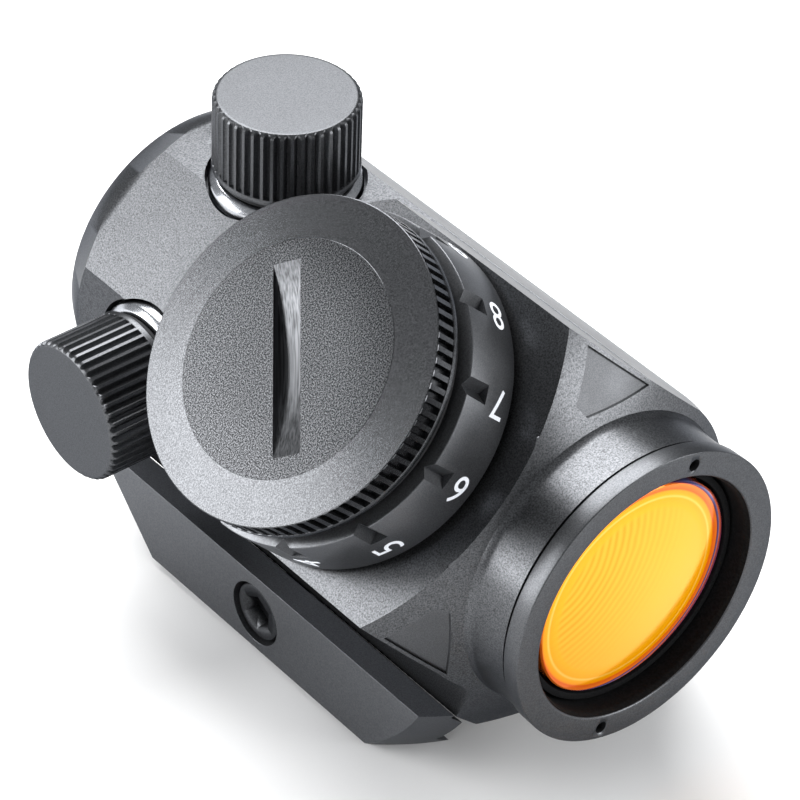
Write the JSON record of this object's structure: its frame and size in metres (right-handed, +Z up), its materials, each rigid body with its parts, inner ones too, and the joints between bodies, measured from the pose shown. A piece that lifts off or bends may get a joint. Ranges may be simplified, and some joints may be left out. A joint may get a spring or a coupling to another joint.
{
  "type": "compact tube red dot sight",
  "caption": "Compact tube red dot sight with turret caps, a rotary brightness dial with battery cap, and a clamp base for a slotted rail.",
  "frame": {"origin": "on the rail seat, in the centre plane, straight below the two turret axes", "axes": "+Z up, -Y forward through the objective, -X towards the windage turret and the clamp bar"},
  "size_m": [0.043, 0.061, 0.0491],
  "materials": {
    "anodised_body": "matte grey-black anodised aluminium",
    "anodised_cap": "satin black anodised aluminium",
    "dial_metal": "matte black anodised aluminium",
    "black_metal": "matte black",
    "polished_collar": "bright machined",
    "steel": "bright",
    "brass": "satin",
    "rubber": "matte",
    "coated_lens": "amber mirror coating",
    "clear_glass": "clear",
    "circuit_board": "solder mask",
    "black_plastic": "matte",
    "emitter_red": "clear red epoxy"
  },
  "bodies": {
    "body": {"housing": "anodised_body", "objective_bezel": "anodised_body", "rear_window": "clear_glass", "rear_window_oring": "rubber", "eyepiece_ring": "black_metal", "gimbal_pin_left": "steel", "gimbal_pin_right": "steel", "bias_spring": "steel", "elevation_collar": "polished_collar", "windage_collar": "polished_collar", "dial_base": "black_plastic", "dial_base_screw_1": "steel", "dial_base_screw_2": "steel", "dial_base_screw_3": "steel", "switch_board": "circuit_board", "battery_contact": "brass", "detent_ball": "steel", "detent_spring": "steel", "dial_oring": "rubber", "bolt_nut": "steel"},
    "gimbal": {"gimbal_ring": "steel", "gimbal_pin_top": "steel", "gimbal_pin_bottom": "steel"},
    "optic_tube": {"inner_tube": "black_metal", "objective_lens": "coated_lens", "lens_ring": "black_metal", "led_holder": "black_plastic", "led_emitter": "emitter_red"},
    "elevation_adjuster": {"elevation_screw": "brass"},
    "elevation_pusher": {"elevation_plunger": "steel"},
    "elevation_seal": {"elevation_cap_gasket": "rubber"},
    "elevation_lid": {"elevation_cap": "anodised_cap"},
    "windage_adjuster": {"windage_screw": "brass"},
    "windage_pusher": {"windage_plunger": "steel"},
    "windage_seal": {"windage_cap_gasket": "rubber"},
    "windage_lid": {"windage_cap": "anodised_cap"},
    "dial": {"dial_ring": "dial_metal", "dial_clip": "steel", "battery": "steel"},
    "battery_seal": {"battery_cap_oring": "rubber"},
    "battery_lid": {"battery_cap": "anodised_cap"},
    "clamp": {"clamp_bar": "anodised_body"},
    "bolt": {"cross_bolt": "black_metal"}
  },
  "joints": [
    {"name": "elevation_turn", "type": "hinge", "parent": "body", "child": "elevation_adjuster", "pos_m": [0, 0.0001, 0.032], "axis": [0, 0, 1], "range_deg": [-290, 290]},
    {"name": "elevation_feed", "type": "slide", "parent": "body", "child": "elevation_pusher", "axis": [0, 0, 1], "range_m": [-0.0004, 0.0004]},
    {"name": "windage_turn", "type": "hinge", "parent": "body", "child": "windage_adjuster", "pos_m": [-0.0165, 0.0001, 0.0155], "axis": [-1, 0, 0], "range_deg": [-290, 290]},
    {"name": "windage_feed", "type": "slide", "parent": "body", "child": "windage_pusher", "axis": [-1, 0, 0], "range_m": [-0.0004, 0.0004]},
    {"name": "gimbal_pitch", "type": "hinge", "parent": "body", "child": "gimbal", "pos_m": [0, -0.038, 0.0155], "axis": [1, 0, 0], "range_deg": [-0.61, 0.61]},
    {"name": "tube_yaw", "type": "hinge", "parent": "gimbal", "child": "optic_tube", "pos_m": [0, -0.038, 0.0155], "axis": [0, 0, 1], "range_deg": [-0.61, 0.61]},
    {"name": "elevation_cap_lift", "type": "slide", "parent": "body", "child": "elevation_seal", "axis": [0, 0, 1], "range_m": [0, 0.003]},
    {"name": "elevation_cap_turn", "type": "hinge", "parent": "elevation_seal", "child": "elevation_lid", "pos_m": [0, 0.0001, 0.035], "axis": [0, 0, 1], "range_deg": [0, 1445]},
    {"name": "windage_cap_lift", "type": "slide", "parent": "body", "child": "windage_seal", "axis": [-1, 0, 0], "range_m": [0, 0.003]},
    {"name": "windage_cap_turn", "type": "hinge", "parent": "windage_seal", "child": "windage_lid", "pos_m": [-0.02, 0.0001, 0.0155], "axis": [-1, 0, 0], "range_deg": [0, 1445]},
    {"name": "dial_turn", "type": "hinge", "parent": "body", "child": "dial", "pos_m": [-0.01414, -0.0236, 0.02964], "axis": [-0.7071, 0, 0.7071], "range_deg": [0, 330]},
    {"name": "battery_cap_lift", "type": "slide", "parent": "dial", "child": "battery_seal", "axis": [-0.7071, 0, 0.7071], "range_m": [0, 0.003]},
    {"name": "battery_cap_turn", "type": "hinge", "parent": "battery_seal", "child": "battery_lid", "pos_m": [-0.01768, -0.0236, 0.03318], "axis": [-0.7071, 0, 0.7071], "range_deg": [0, 1085]},
    {"name": "clamp_slide", "type": "slide", "parent": "body", "child": "clamp", "axis": [-1, 0, 0], "range_m": [0, 0.0022]},
    {"name": "bolt_turn", "type": "hinge", "parent": "clamp", "child": "bolt", "pos_m": [-0.013, -0.0153, -0.00092], "axis": [-1, 0, 0], "range_deg": [0, 1136]}
  ],
  "couplings": [
    {"joint": "elevation_turn", "follows": "elevation_feed", "rad_per_m": 12566},
    {"joint": "gimbal_pitch", "follows": "elevation_feed", "rad_per_m": 26.247},
    {"joint": "windage_turn", "follows": "windage_feed", "rad_per_m": 12566},
    {"joint": "tube_yaw", "follows": "windage_feed", "rad_per_m": 26.247},
    {"joint": "elevation_cap_turn", "follows": "elevation_cap_lift", "rad_per_m": 8377.6},
    {"joint": "windage_cap_turn", "follows": "windage_cap_lift", "rad_per_m": 8377.6},
    {"joint": "battery_cap_turn", "follows": "battery_cap_lift", "rad_per_m": 6283.2},
    {"joint": "bolt_turn", "follows": "clamp_slide", "rad_per_m": 8976}
  ]
}
